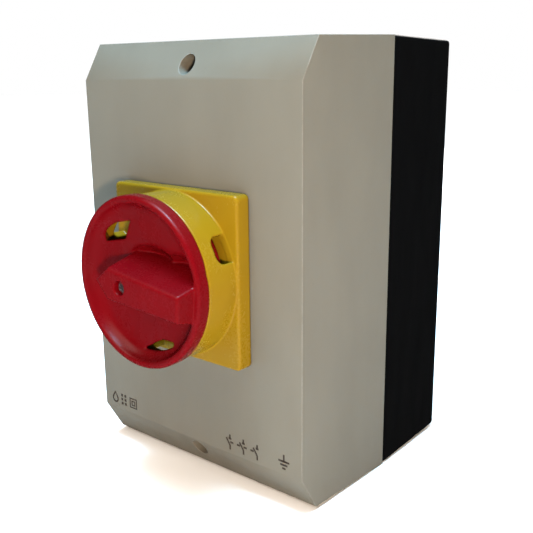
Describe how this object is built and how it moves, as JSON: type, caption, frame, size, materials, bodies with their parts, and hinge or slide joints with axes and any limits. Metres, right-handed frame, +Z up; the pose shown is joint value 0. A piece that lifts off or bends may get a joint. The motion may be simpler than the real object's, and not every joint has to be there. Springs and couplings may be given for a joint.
{
  "type": "enclosed rotary isolator switch",
  "caption": "Wall box with sloping top and bottom cover faces and a padlockable red rotary handle in a yellow collar, over a DIN-rail load-break switch with rack-driven contact rotors.",
  "frame": {"origin": "centre of the base's back face, where the box meets the wall", "axes": "+Z up the wall, +X to the viewer's right, +Y into the wall; the handle faces -Y"},
  "size_m": [0.114, 0.1353, 0.174],
  "materials": {
    "cover_grey": "fine satin, warm light grey",
    "base_black": "satin black",
    "lock_yellow": "glossy safety yellow",
    "handle_red": "semi-gloss signal red",
    "seal_rubber": "matt black rubber",
    "zinc_steel": "bright zinc plated",
    "switch_grey": "satin dark grey",
    "rotor_ivory": "satin ivory",
    "gear_white": "satin natural acetal",
    "contact_copper": "bright copper",
    "terminal_brass": "bright brass",
    "driver_black": "satin black",
    "spring_steel": "bright spring steel"
  },
  "bodies": {
    "base": {"base_box": "base_black", "cover_gasket": "seal_rubber", "din_rail": "zinc_steel", "din_rail_screw_left": "zinc_steel", "din_rail_screw_right": "zinc_steel", "din_clip": "driver_black", "switch_rear_housing": "switch_grey", "switch_front_housing": "switch_grey", "housing_screw_1": "zinc_steel", "housing_screw_2": "zinc_steel", "detent_spring": "spring_steel", "earth_terminal": "terminal_brass", "earth_screw_1": "zinc_steel", "earth_screw_2": "zinc_steel", "neutral_terminal": "terminal_brass", "neutral_screw_1": "zinc_steel", "neutral_screw_2": "zinc_steel", "line_contact_1": "contact_copper", "line_terminal_screw_1": "zinc_steel", "line_contact_2": "contact_copper", "line_terminal_screw_2": "zinc_steel", "line_contact_3": "contact_copper", "line_terminal_screw_3": "zinc_steel", "load_contact_1": "contact_copper", "load_terminal_screw_1": "zinc_steel", "load_contact_2": "contact_copper", "load_terminal_screw_2": "zinc_steel", "load_contact_3": "contact_copper", "load_terminal_screw_3": "zinc_steel"},
    "cover": {"cover_shell": "cover_grey", "cover_screw_top": "zinc_steel", "cover_screw_bottom": "zinc_steel", "cover_screw_seal_top": "seal_rubber", "cover_screw_seal_bottom": "seal_rubber", "padlock_plate": "lock_yellow", "plate_gasket": "seal_rubber", "handle_seal": "seal_rubber", "plate_screw_1": "zinc_steel", "plate_screw_2": "zinc_steel", "plate_screw_3": "zinc_steel", "plate_screw_4": "zinc_steel"},
    "handle": {"handle_knob": "handle_red", "handle_screw": "zinc_steel", "handle_driver": "driver_black"},
    "spindle": {"square_shaft": "zinc_steel", "drive_pinion": "gear_white", "detent_wheel": "gear_white", "pole_rotor_2": "rotor_ivory", "moving_blade_2": "contact_copper"},
    "rack": {"rack_bar": "gear_white"},
    "rotor_left": {"pole_rotor_1": "rotor_ivory", "rotor_pinion_1": "gear_white", "moving_blade_1": "contact_copper"},
    "rotor_right": {"pole_rotor_3": "rotor_ivory", "rotor_pinion_3": "gear_white", "moving_blade_3": "contact_copper"}
  },
  "joints": [
    {"name": "cover_lift", "type": "slide", "parent": "base", "child": "cover", "axis": [0, -1, 0], "range_m": [0, 0.1]},
    {"name": "handle_turn", "type": "hinge", "parent": "cover", "child": "handle", "pos_m": [0, -0.12, 0], "axis": [0, 1, 0], "range_deg": [0, 90]},
    {"name": "spindle_turn", "type": "hinge", "parent": "base", "child": "spindle", "pos_m": [0, -0.05, 0], "axis": [0, 1, 0], "range_deg": [0, 90]},
    {"name": "rack_slide", "type": "slide", "parent": "base", "child": "rack", "axis": [1, 0, 0], "range_m": [0, 0.00943]},
    {"name": "rotor_left_turn", "type": "hinge", "parent": "base", "child": "rotor_left", "pos_m": [-0.02199, -0.05, 0], "axis": [0, 1, 0], "range_deg": [0, 90]},
    {"name": "rotor_right_turn", "type": "hinge", "parent": "base", "child": "rotor_right", "pos_m": [0.02199, -0.05, 0], "axis": [0, 1, 0], "range_deg": [0, 90]}
  ],
  "couplings": [
    {"joint": "spindle_turn", "follows": "handle_turn", "ratio": 1},
    {"joint": "rack_slide", "follows": "handle_turn", "m_per_rad": 0.006},
    {"joint": "rotor_left_turn", "follows": "handle_turn", "ratio": 1},
    {"joint": "rotor_right_turn", "follows": "handle_turn", "ratio": 1}
  ]
}
